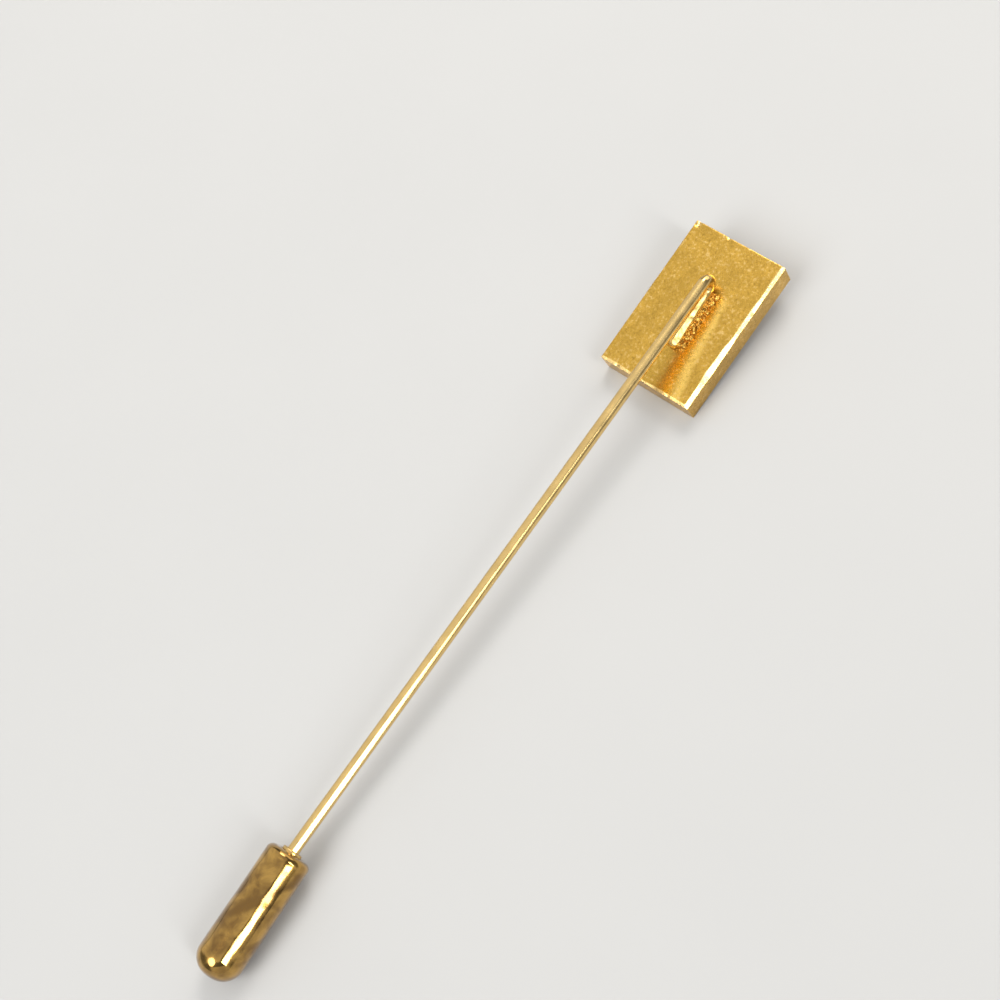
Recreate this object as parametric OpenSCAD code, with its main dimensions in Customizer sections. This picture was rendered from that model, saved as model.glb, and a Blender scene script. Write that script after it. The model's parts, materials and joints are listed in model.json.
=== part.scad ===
// Stick pin lying face down: a thick oblong head plate, a hairpin wire whose foot is soldered
// to the back of the plate, and a bullet-shaped clutch pushed over the sharpened end.
// Millimetres, +Z up. The pin rests on Z = 0 as it lies by itself, on the lower front edge of
// its head and on its clutch. +X runs from the clutch to the head, and the origin is the
// middle of the base of the bounding box.

/* [Head plate] */
// Length of the head plate, along the pin
head_l = 12.6; // [11:0.1:18]
// Width of the head plate, across the pin
head_w = 8.1; // [6:0.1:14]
// Thickness of the head plate
head_t = 2.1; // [1.2:0.1:3.5]
// Width of the bevel filed along every edge of the plate
head_bevel = 0.18; // [0.05:0.01:0.3]

/* [Wire] */
// Diameter of the wire
wire_d = 0.9; // [0.7:0.05:1.1]
// Straight length of the foot, from the bend to its round end
foot_l = 4.45; // [3:0.05:5.5]
// Radius to which the foot's free end is rounded
foot_round = 0.4; // [0.2:0.01:0.44]
// Distance from the plate's far end to the outside of the hairpin bend
bend_inset = 3.4; // [2:0.1:5]
// Radius of the hairpin bend at the middle of the wire
bend_r = 0.66; // [0.6:0.01:0.8]
// How far the bend lies to one side of the plate's middle line
bend_side = 0.18; // [0:0.01:0.6]
// Angle at which the stem rises from the back of the plate
stem_rise = 5.8; // [4:0.1:9]
// Angle at which the wire strays to the side from the plate's middle line
stem_stray = 1.9; // [0:0.1:4]
// Visible length of the stem, from the bend to the mouth of the clutch
stem_l = 50; // [35:0.5:65]
// Length of the pin that the clutch hides, point included
hidden_l = 7.2; // [6:0.1:8]
// Length of the tapered point
point_l = 3; // [2:0.1:4.5]
// Diameter of the blunted tip of the point
tip_d = 0.2; // [0.1:0.05:0.4]

/* [Solder] */
// Width of the solder beside the foot, where it meets the plate
solder_w = 0.45; // [0.3:0.05:0.6]
// Height of the solder on the side of the foot
solder_h = 0.4; // [0.3:0.05:0.45]
// Depth by which the soldered foot is bedded in the plate
foot_bed = 0.05; // [0.03:0.01:0.1]
// Mean radius of the grains along the edge of the solder
grain_r = 0.24; // [0.18:0.01:0.3]
// Number of grains on each side of the foot
grain_count = 8; // [4:1:10]

/* [Clutch] */
// Length of the clutch shell
clutch_l = 9.8; // [9.4:0.1:12]
// Diameter of the clutch at its closed end
clutch_d = 3.54; // [3.3:0.02:4.4]
// Diameter of the clutch behind the shoulder at its mouth
clutch_mouth_d = 3.44; // [3.2:0.02:4.2]
// Thickness of the shell's wall
clutch_wall = 0.3; // [0.2:0.05:0.4]
// Radius of the rounded corner of the closed end
dome_r = 1.45; // [0.8:0.05:1.6]
// Radius of the rounded shoulder at the mouth
shoulder_r = 0.55; // [0.3:0.05:0.7]
// Angle by which the shell sits askew on the pin
clutch_skew = 2.2; // [0:0.1:3]
// Outer diameter of the collar round the wire at the mouth
collar_d = 1.5; // [1.4:0.05:1.8]
// How far the collar stands out of the mouth
collar_out = 0.22; // [0.1:0.02:0.4]
// Length of the grip inside the shell
grip_l = 7.4; // [6.5:0.1:7.6]
// Thickness of the grip's flange behind the mouth
flange_t = 0.5; // [0.3:0.1:0.8]

/* [Fits] */
// Gap between the wire and the bore of the grip, on each side
bore_gap = 0.03; // [0.02:0.01:0.08]
// Gap between the collar and the hole in the mouth, on each side
collar_gap = 0.07; // [0.05:0.01:0.12]
// Gap between the grip's flange and the inside of the shell
flange_gap = 0.12; // [0.1:0.01:0.15]

/* [Hidden] */
$fn = 64;
GOLD = [0.85, 0.68, 0.32];
PALE_GOLD = [0.9, 0.76, 0.45];
DULL_GOLD = [0.7, 0.53, 0.24];

wire_r = wire_d/2;
// Middle of the hairpin bend, and of the foot below it
bend_x = head_l - bend_inset - wire_r - bend_r;
foot_z = head_t - foot_bed + wire_r;
bend_z = foot_z + bend_r;
// Straight stretch of full thickness, from the bend to the start of the point
shank_l = stem_l + hidden_l - point_l;
// Taper of the clutch, from its mouth to its closed end
clutch_r = clutch_d/2;
clutch_mouth_r = clutch_mouth_d/2;
cavity_r = clutch_mouth_r - clutch_wall;
hole_r = collar_d/2 + collar_gap;
// The plain cavity ends where the inner round of the closed end starts
cavity_round = dome_r - clutch_wall;
// How far a cut runs past the face that it opens
past = 0.1;
// How far the straight stretches of the wire run into its bend, so that they are one piece
lap = 0.2;
// Half width of the solder's top, which the foot hides, as a share of the wire's radius
solder_top = 0.7;
// The grains of solder step round by the golden angle, which never repeats itself
grain_step = 137.5;
// Grain size, place along the foot and place beside it vary by these shares
grain_size_vary = 0.25;
grain_along_vary = 0.3;
grain_beside = 0.6;
grain_beside_vary = 0.3;
// Share of its radius by which a grain's middle lies below the back of the plate
grain_sink = 0.15;
// The leaning angle is looked for between these two, by halving the stretch this many times
lean_least = -20;
lean_most = 40;
halvings = 50;

// Unit vector of a direction that strays to the side by an angle and rises by stem_rise
function heading(side) = [-cos(stem_rise)*cos(side), -cos(stem_rise)*sin(side), sin(stem_rise)];
stem_start = [bend_x, -bend_side, bend_z] + bend_r*[
    sin(stem_rise)*cos(stem_stray), sin(stem_rise)*sin(stem_stray), cos(stem_rise)];
mouth = stem_start + stem_l*heading(stem_stray);
clutch_axis = heading(stem_stray + clutch_skew);
// Middle of the clutch's round closed end, where its corner starts
end_centre = mouth + (clutch_l - dome_r)*clutch_axis;

// A point's or direction's height and reach along X, once the pin leans back by an angle
function height(p, a) = p[0]*sin(a) + p[2]*cos(a);
function reach(p, a) = p[0]*cos(a) - p[2]*sin(a);
// How far the round closed end goes out from its middle, along a line that its axis meets
// with the cosine c
function end_reach(c) = (clutch_r - dome_r)*sqrt(1 - c*c) + dome_r;
function clutch_low(a) = height(end_centre, a) - end_reach(height(clutch_axis, a));
function head_low(a) = head_bevel*sin(a);
// The angle at which the clutch and the head's lower edge lie on one plane, by halving
function lean_between(low, high, steps) =
    let (middle = (low + high)/2)
    steps == 0 ? middle
    : clutch_low(middle) > head_low(middle) ? lean_between(middle, high, steps - 1)
    : lean_between(low, middle, steps - 1);
lean = lean_between(lean_least, lean_most, halvings);

x_high = reach([head_l, 0, head_bevel], lean);
x_low = reach(end_centre, lean) - end_reach(reach(clutch_axis, lean));
y_high = head_w/2;
y_low = min(-head_w/2, end_centre[1] - end_reach(clutch_axis[1]));

// Puts what is modelled flat on its front face into the leaning place in which it rests
module at_rest() {
    translate([-(x_low + x_high)/2, -(y_low + y_high)/2, -head_low(lean)])
        rotate([0, -lean, 0]) children();
}

// Oblong with its four corners cut at 45 degrees
module cut_oblong(l, w, cut) {
    polygon([[cut, 0], [l - cut, 0], [l, cut], [l, w - cut],
             [l - cut, w], [cut, w], [0, w - cut], [0, cut]]);
}

// The head: a block with the same bevel along all its edges
module head_plate() {
    color(GOLD) intersection() {
        translate([0, -head_w/2, 0]) linear_extrude(head_t) cut_oblong(head_l, head_w, head_bevel);
        translate([0, head_w/2, 0]) rotate([90, 0, 0])
            linear_extrude(head_w) cut_oblong(head_l, head_t, head_bevel);
        translate([0, -head_w/2, 0]) rotate([90, 0, 90])
            linear_extrude(head_l) cut_oblong(head_w, head_t, head_bevel);
    }
}

// Everything that lies in the upright plane of the bent wire, with the bend's middle at X = 0
module in_wire_plane() {
    translate([bend_x, -bend_side, 0]) rotate([0, 0, stem_stray]) children();
}

// Straight foot with a round end, on the back of the plate
module foot() {
    translate([0, 0, foot_z]) rotate([0, -90, 0]) rotate_extrude() {
        translate([0, -lap]) square([wire_r, foot_l + lap]);
        translate([0, -lap]) square([wire_r - foot_round, foot_l + foot_round + lap]);
        translate([wire_r - foot_round, foot_l]) intersection() {
            circle(r = foot_round);
            square(foot_round);
        }
    }
}

// Hairpin bend from the foot up to the stem
module bend() {
    translate([0, 0, bend_z]) rotate([90, 0, 0]) rotate([0, 0, -90])
        rotate_extrude(angle = 180 - stem_rise) translate([bend_r, 0]) circle(r = wire_r);
}

// Straight stem, ending in the sharpened point
module stem() {
    translate([0, 0, bend_z]) rotate([0, -90 + stem_rise, 0]) translate([bend_r, 0, 0]) {
        translate([0, 0, -lap]) cylinder(r = wire_r, h = shank_l + lap);
        translate([0, 0, shank_l]) cylinder(r1 = wire_r, r2 = tip_d/2, h = point_l);
    }
}

module pin_wire() {
    color(PALE_GOLD) in_wire_plane() {
        foot();
        bend();
        stem();
    }
}

// Solder: a sloped bed on both sides of the foot, with a row of grains along each edge
module solder() {
    half_top = wire_r*solder_top;
    half_base = wire_r + solder_w;
    base_z = head_t - foot_bed;
    color(DULL_GOLD) in_wire_plane() {
        translate([-foot_l, 0, base_z]) rotate([90, 0, 90]) linear_extrude(foot_l)
            polygon([[-half_base, 0], [half_base, 0], [half_top, solder_h], [-half_top, solder_h]]);
        for (side = [-1, 1], i = [0 : grain_count - 1]) {
            turn = grain_step*(i + grain_count*max(side, 0));
            grain = grain_r*(1 + grain_size_vary*sin(2*turn));
            translate([-foot_l*(i + 0.5 + grain_along_vary*sin(turn))/grain_count,
                       side*(wire_r + solder_w*(grain_beside + grain_beside_vary*cos(turn))),
                       head_t - grain_sink*grain])
                rotate([90, 0, 0]) sphere(r = grain, $fn = 24);
        }
    }
}

// Head, wire and solder: one soldered piece
module plate_with_pin() {
    at_rest() union() {
        head_plate();
        pin_wire();
        solder();
    }
}

// Places a clutch piece with its mouth at Z = 0 and its closed end towards +Z, on an axis
// that strays to the side by an angle
module on_clutch_axis(side) {
    at_rest() translate(mouth) rotate([0, -90 + stem_rise, side]) children();
}

// Half outline of a cup closed at its far end: straight from the rounded mouth to the
// rounded closed end
module cup_outline(mouth_r, end_r, mouth_round, end_round, from, to) {
    intersection() {
        rounded_outline(mouth_r, end_r, mouth_round, end_round, from, to);
        translate([0, from]) square([end_r + mouth_r, to - from]);
    }
}

module rounded_outline(mouth_r, end_r, mouth_round, end_round, from, to) {
    polygon([[0, from], [mouth_r - mouth_round, from], [mouth_r, from + mouth_round],
             [end_r, to - end_round], [end_r - end_round, to], [0, to]]);
    translate([mouth_r - mouth_round, from + mouth_round]) circle(r = mouth_round);
    translate([end_r - end_round, to - end_round]) circle(r = end_round);
}

// Drawn shell of the clutch: closed and rounded at one end, with a hole in its mouth
module clutch_shell() {
    color(GOLD) on_clutch_axis(stem_stray + clutch_skew) difference() {
        rotate_extrude()
            cup_outline(clutch_mouth_r, clutch_r, shoulder_r, dome_r, 0, clutch_l);
        rotate_extrude()
            cup_outline(cavity_r, clutch_r - clutch_wall, shoulder_r/2, cavity_round,
                        clutch_wall, clutch_l - clutch_wall);
        translate([0, 0, -past]) cylinder(r = hole_r, h = clutch_wall + 2*past);
    }
}

// Grip inside the shell: a bored sleeve with a flange, whose collar shows at the mouth
module clutch_grip() {
    flange_z = clutch_wall + flange_gap;
    color(DULL_GOLD) on_clutch_axis(stem_stray) difference() {
        union() {
            translate([0, 0, -collar_out]) cylinder(d = collar_d, h = collar_out + grip_l);
            translate([0, 0, flange_z]) cylinder(r = cavity_r - flange_gap, h = flange_t);
        }
        translate([0, 0, -collar_out - past])
            cylinder(r = wire_r + bore_gap, h = collar_out + grip_l + 2*past);
    }
}

plate_with_pin();
clutch_shell();
clutch_grip();
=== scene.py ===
"""Stick pin lying face down: satin head plate, hairpin wire, grainy solder and polished clutch.

Lengths are in metres. The pin's own axes start in the middle of the head's front face: X runs
along the head away from the clutch, Y across it, and Z out of its back. They are read from the
frame's mounts, so every surface below lands where the frame has the part.
"""

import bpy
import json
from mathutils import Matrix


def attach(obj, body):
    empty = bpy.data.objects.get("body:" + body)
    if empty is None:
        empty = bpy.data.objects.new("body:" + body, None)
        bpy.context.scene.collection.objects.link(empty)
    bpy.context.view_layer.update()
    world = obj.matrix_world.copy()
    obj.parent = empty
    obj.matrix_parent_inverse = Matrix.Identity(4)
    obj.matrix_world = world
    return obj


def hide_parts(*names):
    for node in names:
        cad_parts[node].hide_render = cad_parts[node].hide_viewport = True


bl_info = {
    "name": "Stick Pin",
    "version": (1, 0, 0),
    "blender": (4, 5, 0),
    "location": "View3D > Sidebar > Stick Pin",
    "description": "Builds a gold stick pin with a soldered hairpin wire and a bullet clutch",
    "category": "Add Mesh",
}

import json
import math

import bmesh
import bpy
import numpy as np
from bpy.props import FloatProperty, FloatVectorProperty, IntProperty, PointerProperty
from mathutils import Matrix, Vector

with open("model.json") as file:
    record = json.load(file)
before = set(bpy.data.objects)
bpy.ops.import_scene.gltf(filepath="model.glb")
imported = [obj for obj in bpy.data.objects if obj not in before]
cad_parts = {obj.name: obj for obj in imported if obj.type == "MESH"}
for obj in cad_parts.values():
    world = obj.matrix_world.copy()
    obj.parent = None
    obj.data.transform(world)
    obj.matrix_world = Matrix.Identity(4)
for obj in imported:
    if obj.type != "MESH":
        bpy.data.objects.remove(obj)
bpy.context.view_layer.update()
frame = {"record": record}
MOUNTS = {mount["name"]: mount for mount in frame["record"]["mounts"]}
HEAD_FRONT = MOUNTS["head_front"]
MM = 0.001
MICRON = 0.000001


# Places and directions of the pin

def to_world(points):
    """Points in the pin's own axes, turned and moved to where the frame has the part."""
    out = -np.array(HEAD_FRONT["axis"])
    out = out / np.linalg.norm(out)
    across = np.array([0.0, 1.0, 0.0])
    axes = np.stack([np.cross(across, out), across, out])
    return np.array(HEAD_FRONT["pos_m"]) + points @ axes


def heading(wire, side):
    """Unit vector in the pin's axes that strays by the angle side and rises by the wire's rise."""
    level = math.cos(wire.rise)
    return np.array([-level * math.cos(side), -level * math.sin(side), math.sin(wire.rise)])


def bend_centre(head, wire):
    """Middle of the hairpin bend in the pin's axes."""
    radius = wire.diameter / 2
    x = head.length / 2 - wire.bend_inset - radius - wire.bend_radius
    z = head.thickness - wire.bed + radius + wire.bend_radius
    return np.array([x, -wire.bend_side, z])


def in_wire_plane(head, wire, x, y, z):
    """Points given along the wire's upright plane (x, z) and square to it (y), in the pin's axes.

    x and y are turned by the wire's stray about the bend's upright line, and z is kept.
    """
    centre = bend_centre(head, wire)
    turn_cos = math.cos(wire.stray)
    turn_sin = math.sin(wire.stray)
    return stacked(centre[0] + x * turn_cos - y * turn_sin,
                   centre[1] + x * turn_sin + y * turn_cos, z)


def clutch_mouth(head, wire):
    """Where the wire's middle line enters the clutch, in the pin's axes."""
    centre = bend_centre(head, wire)
    stem_x = wire.bend_radius * math.sin(wire.rise)
    stem_z = centre[2] + wire.bend_radius * math.cos(wire.rise)
    start = in_wire_plane(head, wire, stem_x, 0.0, stem_z)
    return start + wire.stem_length * heading(wire, wire.stray)


# Random but repeatable relief

# Weights that mix a cell's three numbers and its seed, and the size of the sine that breaks them
CELL_WEIGHTS = np.array([127.1, 311.7, 74.7])
SEED_WEIGHT = 19.19
SINE_SIZE = 43758.5453

# Kinds of relief: width of the widest lumps, seed and layers
RELIEF = {
    "filing": (2.3 * MM, 4, 2),
    "satin": (0.26 * MM, 11, 2),
    "sway": (2.6 * MM, 17, 1),
    "painted_reflection": (0.7 * MM, 61, 2),
    "drawing": (0.24 * MM, 5, 1),
    "splash": (0.34 * MM, 53, 2),
    "grain_x": (0.3 * MM, 41, 2),
    "grain_y": (0.3 * MM, 47, 2),
    "solder": (0.2 * MM, 23, 3),
    "dents": (1.25 * MM, 31, 1),
    "small_dents": (0.5 * MM, 37, 1),
    "smudge": (0.8 * MM, 71, 2),
}


def lattice_values(cells, seed):
    """One value from -1 to 1 for each whole-numbered cell, from the broken part of a large sine."""
    mixed = cells @ CELL_WEIGHTS + SEED_WEIGHT * seed
    return 2 * np.mod(np.sin(mixed) * SINE_SIZE, 1.0) - 1


def lumps(points, cell, seed):
    """Smooth lumps about one cell wide, from -1 to 1.

    Each point blends the random values at the eight corners of its cell, with the weights
    t * t * (3 - 2 * t) of its place t between them.
    """
    place = points / cell
    low = np.floor(place)
    share = smooth_step(place - low, 0, 1)
    total = np.zeros(place.shape[:-1])
    for corner in np.ndindex(2, 2, 2):
        step = np.array(corner)
        weight = np.prod(np.where(step == 1, share, 1 - share), axis=-1)
        total = total + weight * lattice_values(low + step, seed)
    return total


def relief(points, kind):
    """Lumps of one kind, added up in layers of half the size and half the height each time."""
    cell, seed, layers = RELIEF[kind]
    return sum(lumps(points, cell / 2 ** layer, seed + layer) / 2 ** layer
               for layer in range(layers))


def smooth_step(value, low, high):
    """0 below low, 1 above high, and t * t * (3 - 2 * t) between them."""
    share = np.clip((value - low) / (high - low), 0, 1)
    return share * share * (3 - 2 * share)


def round_dip(far):
    """Depth of a round dip: 1 in its middle, 0 from its rim outwards, half a cosine between."""
    return 0.5 * (1 + np.cos(math.pi * np.clip(far, 0, 1)))


# Grids and meshes

def stacked(*parts):
    """Arrays spread to one shape and stacked along a last axis, such as x, y and z of points."""
    return np.stack(np.broadcast_arrays(*parts), axis=-1)


def grid_faces(rows, columns, rows_close=False, columns_close=False, start=0):
    """Corner numbers of the four-sided faces between the neighbours of a grid of points.

    Point (i, j) has number start + i * columns + j, and a closed direction joins last to first.
    """
    i = np.arange(rows if rows_close else rows - 1)[:, None]
    j = np.arange(columns if columns_close else columns - 1)[None, :]
    next_i = (i + 1) % rows
    next_j = (j + 1) % columns
    return start + stacked(i * columns + j, i * columns + next_j, next_i * columns + next_j,
                           next_i * columns + j).reshape(-1, 4)


def fan_faces(tip, ring, outward=True):
    """Triangles from the point numbered tip to each side of a closed ring of point numbers."""
    following = np.roll(ring, -1)
    return stacked(tip, ring, following) if outward else stacked(tip, following, ring)


def tube_faces(count, sides):
    """Faces of a tube of closed rings, whose ends are fans to the two points after the rings."""
    last_ring = (count - 1) * sides + np.arange(sides)
    return [grid_faces(count, sides, columns_close=True),
            fan_faces(count * sides, np.arange(sides)),
            fan_faces(count * sides + 1, last_ring, outward=False)]


def even_angles(count):
    """Even angles once round a circle, from 0."""
    return np.arange(count) * 2 * math.pi / count


def turned_from(angle, degrees):
    """How far angles are turned from a direction, within half a turn either way."""
    return np.angle(np.exp(1j * (angle - math.radians(degrees))))


def arc(centre, radius, start, end, count):
    """Points on a circle's arc: centre plus radius times the cosine and sine of even angles."""
    angle = np.linspace(start, end, count)
    return stacked(centre[0] + radius * np.cos(angle), centre[1] + radius * np.sin(angle))


def straight(start, end, count):
    """Even points between two ends, without the ends themselves."""
    share = np.linspace(0, 1, count + 2)[1:-1, None]
    return np.array(start) * (1 - share) + np.array(end) * share


def new_piece(name, surface, material):
    """A mesh object of smooth faces at the origin, whose points are already in place.

    surface holds the points, groups of faces, and (name, values) pairs of shares, which give
    each point a value that the material reads.
    """
    points, faces, shares = surface
    mesh = bpy.data.meshes.new(name)
    face_list = [face for group in faces for face in np.asarray(group).tolist()]
    mesh.from_pydata(np.asarray(points).tolist(), [], face_list, shade_flat=False)
    for label, values in shares:
        layer = mesh.attributes.new(label, "FLOAT", "POINT")
        layer.data.foreach_set("value", values.astype(np.float32).ravel())
    mesh.materials.append(material)
    mesh.update()
    piece = bpy.data.objects.new(name, mesh)
    bpy.context.scene.collection.objects.link(piece)
    return piece


def weld(piece, distance=0.1 * MICRON):
    """Joins points that lie closer than distance, such as the shared edges of two grids."""
    cage = bmesh.new()
    cage.from_mesh(piece.data)
    bmesh.ops.remove_doubles(cage, verts=cage.verts, dist=distance)
    bmesh.ops.recalc_face_normals(cage, faces=cage.faces)
    cage.to_mesh(piece.data)
    cage.free()


# Head plate

# Spacing of points on the head's flats, and rows of points on half an edge's rounding
HEAD_SPACING = 0.068 * MM
HEAD_EDGE_ROWS = 4

# Filed back edges: way along and across the head, slope in degrees, share of the filing
HEAD_EDGES = [
    (0, -1, 34, 1.0),
    (-1, 0, 25, 0.45),
    (1, 0, 45, 0.22),
    (0, 1, 50, 0.2),
]

# How much the filing's depth waves, the depth of cut that looks fully worn, the look of edges
# that no file touched, and how far a direction leans from its side's over such an edge
FILING_WAVE = 0.26
WORN_CUT = 8 * MICRON
EDGE_WEAR = 0.5
EDGE_LEAN = 0.2

# Nicks and worn corners: place on the back's outline as shares, then radius and depth in
# millimetres
HEAD_NICKS = [
    (0.962, 0.925, 0.34, 0.12),
    (1.0, 0.25, 0.3, 0.05),
    (-1.0, 0.62, 0.3, 0.04),
    (-1.0, -0.55, 0.26, 0.03),
    (0.35, -1.0, 0.3, 0.035),
    (-0.42, -1.0, 0.26, 0.03),
    (-1.0, -1.0, 0.26, 0.04),
]

# Line of the painted reflection of the stem in the head's back beside the foot: its start along
# and across the head, slant, fraying, and where it fades past its start and below the back
PAINTED_REFLECTION_X = 1.5 * MM
PAINTED_REFLECTION_Y = -0.95 * MM
PAINTED_REFLECTION_SLANT = 0.126
PAINTED_REFLECTION_FRAY = 0.14 * MM
PAINTED_REFLECTION_FADE = (0.0, 1.0 * MM)
PAINTED_REFLECTION_EDGE_FADE = (-0.3 * MM, -0.1 * MM)

# Bands of it, an orange painted reflection of the stem and a yellow painted reflection of its
# highlight: distance from the line, half widths where the colour is full and gone, strength
PAINTED_REFLECTION_BANDS = {
    "painted_stem_reflection": (0.0, 0.05 * MM, 0.6 * MM, 0.8),
    "painted_highlight_reflection": (0.82 * MM, 0.02 * MM, 0.56 * MM, 0.95),
}


def block_steps(half, rounding):
    """Places along one side of a block: even over its flat, closer over its rounded edges.

    A point at the angle a over the rounding lies at rounding * tan(a) past the flat.
    """
    flat = half - rounding
    angle = np.linspace(0, math.pi / 4, HEAD_EDGE_ROWS + 1)[1:]
    past = flat + rounding * np.tan(angle)
    middle = np.linspace(-flat, flat, max(2, int(2 * half / HEAD_SPACING)))
    return np.concatenate([-past[::-1], middle, past])


def rounded_block(half, rounding):
    """Six grids on a block of the given half sizes, with its edges rounded.

    Each point of the plain block is pulled to the nearest point of a smaller inner block, and
    then pushed out from it by the rounding. Returns the points of the six sides, their
    directions out of the block, and the faces.
    """
    steps = [block_steps(side, rounding) for side in half]
    all_points = []
    all_faces = []
    start = 0
    for fixed in range(3):
        first, second = [axis for axis in range(3) if axis != fixed]
        a, b = np.meshgrid(steps[first], steps[second], indexing="ij")
        for sign in (-1, 1):
            grid = np.zeros(a.shape + (3,))
            grid[..., first] = a
            grid[..., second] = b
            grid[..., fixed] = sign * half[fixed]
            all_points.append(grid.reshape(-1, 3))
            all_faces.append(grid_faces(*a.shape, start=start))
            start = start + a.size
    plain = np.concatenate(all_points)
    inner = np.clip(plain, rounding - half, half - rounding)
    away = plain - inner
    direction = away / np.linalg.norm(away, axis=1, keepdims=True)
    return inner + rounding * direction, direction, all_faces


def shaved(points, edge, normal, depth):
    """Points past a plane moved straight back onto it, and how worn that leaves each of them.

    The plane is square to normal and runs by depth inside the edge.
    """
    beyond = (points - edge) @ normal + depth
    return points - np.clip(beyond, 0, None)[:, None] * normal, smooth_step(beyond, 0, WORN_CUT)


def painted_reflection_shares(points, top):
    """Shares of two bands of painted reflection beside the foot: an orange one for the stem's
    reflection in the back, and a bright yellow one for the reflection of the stem's highlight.

    Both are bands along one slanting line. A share is full on its band's middle and falls to 0
    at its half width, lumps fray its sides, and it fades out beside the bend and below the back.
    """
    x, y, z = points.T
    fray = PAINTED_REFLECTION_FRAY * relief(points * np.array([0.4, 1, 0]), "painted_reflection")
    off = PAINTED_REFLECTION_Y + PAINTED_REFLECTION_SLANT * (x - PAINTED_REFLECTION_X) - y + fray
    fade = smooth_step(z - top, *PAINTED_REFLECTION_EDGE_FADE) * (1 - smooth_step(x - PAINTED_REFLECTION_X, *PAINTED_REFLECTION_FADE))
    return [(name, strength * fade * (1 - smooth_step(np.abs(off - apart), full, gone)))
            for name, (apart, full, gone, strength) in PAINTED_REFLECTION_BANDS.items()]


def head_surface(head):
    """The head's block with filed back edges, a slightly uneven satin skin and a few nicks.

    Each back edge is shaved by a sloping plane, whose depth waves along the edge by lumps.
    Then points move in along their own direction: by lumps, and by a round dip at each nick.
    """
    half = np.array([head.length, head.width, head.thickness]) / 2
    points, direction, faces = rounded_block(half, head.edge_round)
    wave = 1 + FILING_WAVE * relief(points * np.array([1, 1, 0]), "filing")
    worn = np.zeros(len(points))
    for x_way, y_way, slope, share in HEAD_EDGES:
        tilt = math.radians(slope)
        normal = np.array([x_way * math.sin(tilt), y_way * math.sin(tilt), math.cos(tilt)])
        edge = np.array([x_way, y_way, 1.0]) * half
        points, cut = shaved(points, edge, normal, head.filing * share * wave)
        worn = np.maximum(worn, cut)
    rim = smooth_step(1 - np.abs(direction).max(axis=1), 0, EDGE_LEAN)
    depth = (1 - rim) * (head.grain * relief(points, "satin") + head.sway * relief(points, "sway"))
    for x_share, y_share, radius, dip in HEAD_NICKS:
        spot = np.array([x_share, y_share, 1.0]) * half
        dent = round_dip(np.linalg.norm(points - spot, axis=1) / (radius * MM))
        depth = depth + dip * MM * dent
        worn = np.maximum(worn, dent)
    # The shares hold the worn edges and the two bands of painted reflection of the stem.
    shares = [("worn", np.maximum(worn, EDGE_WEAR * rim)), *painted_reflection_shares(points, half[2])]
    points = points - direction * depth[:, None] + np.array([0, 0, half[2]])
    return to_world(points), faces, shares


# Pin wire

# Rings along the wire's round end, foot, bend, stem and point
END_RINGS, FOOT_RINGS, BEND_RINGS, STEM_RINGS, POINT_RINGS = 8, 59, 48, 419, 23

# Angle over the round end of its first ring
END_START = 0.08

# Directions of the flats: on the foot 0 faces away from the plate, and on the stem 180 degrees
# does. A flat reaches round the wire to where its cosine is this small. The foot's depth grows
# from this share of it at the bend.
FOOT_FLAT_TURN = math.radians(-34)
STEM_FLAT_TURN = math.radians(221)
FLAT_REACH = 0.3
FOOT_FLAT_START = 0.1

# Width of a drawing mark over its length, and the foot's share of the solder's colour
MARK_SHAPE = 0.1
FOOT_TINT = 0.35

# Where the foot's solder starts and ends to fade, past the foot's length, and where the stem
# starts to wear, as a share of its length
FOOT_FADE = (-0.4 * MM, 1.2 * MM)
STEM_WEAR_START = 0.7


def wire_middle_line(wire, centre_z):
    """The wire's middle line in its own plane: place, direction and radius at each ring.

    The foot runs straight under the bend, the bend is a circle's arc, and the stem rises
    straight away from it. The round end grows as a quarter circle, and the point shrinks in
    proportion to what is left of it.
    """
    radius = wire.diameter / 2
    rounding = np.linspace(END_START, math.pi / 2, END_RINGS, endpoint=False)
    end_x = -wire.foot_length - wire.foot_round * np.cos(rounding)
    end_radius = radius - wire.foot_round * (1 - np.sin(rounding))
    foot_x = np.concatenate([end_x, np.linspace(-wire.foot_length, 0, FOOT_RINGS, endpoint=False)])
    foot_places = stacked(foot_x, centre_z - wire.bend_radius)
    turn = np.linspace(-math.pi / 2, math.pi / 2 - wire.rise, BEND_RINGS)
    bend_places = arc((0.0, centre_z), wire.bend_radius, turn[0], turn[-1], BEND_RINGS)
    stem_way = np.array([-math.cos(wire.rise), math.sin(wire.rise)])
    shaft = wire.stem_length + wire.hidden_length - wire.point_length
    run = np.concatenate([np.linspace(0, shaft, STEM_RINGS + 1)[1:],
                          shaft + np.linspace(0, wire.point_length, POINT_RINGS + 1)[1:]])
    stem_places = bend_places[-1] + run[:, None] * stem_way
    ways = np.concatenate([
        np.tile([1.0, 0.0], (len(foot_places), 1)),
        stacked(-np.sin(turn), np.cos(turn)),
        np.tile(stem_way, (len(stem_places), 1))])
    left = np.clip((shaft + wire.point_length - run) / wire.point_length, 0, 1)
    stem_radius = wire.tip_radius + (radius - wire.tip_radius) * left
    radii = np.concatenate([end_radius, np.full(FOOT_RINGS + BEND_RINGS, radius), stem_radius])
    return np.concatenate([foot_places, bend_places, stem_places]), ways, radii


def flattened(ring_radius, angle, turn, flat, depth):
    """Radii of rings with a flat that faces the angle turn, on the rings where it has a depth.

    There a radius is at most the flat's distance from the middle divided by the cosine of the
    angle from the flat.
    """
    from_flat = np.cos(angle - turn)
    cut = np.where(from_flat > FLAT_REACH, flat / np.clip(from_flat, FLAT_REACH, 1), np.inf)
    return np.where(depth[:, None] > 0, np.minimum(ring_radius, cut), ring_radius)


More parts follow.
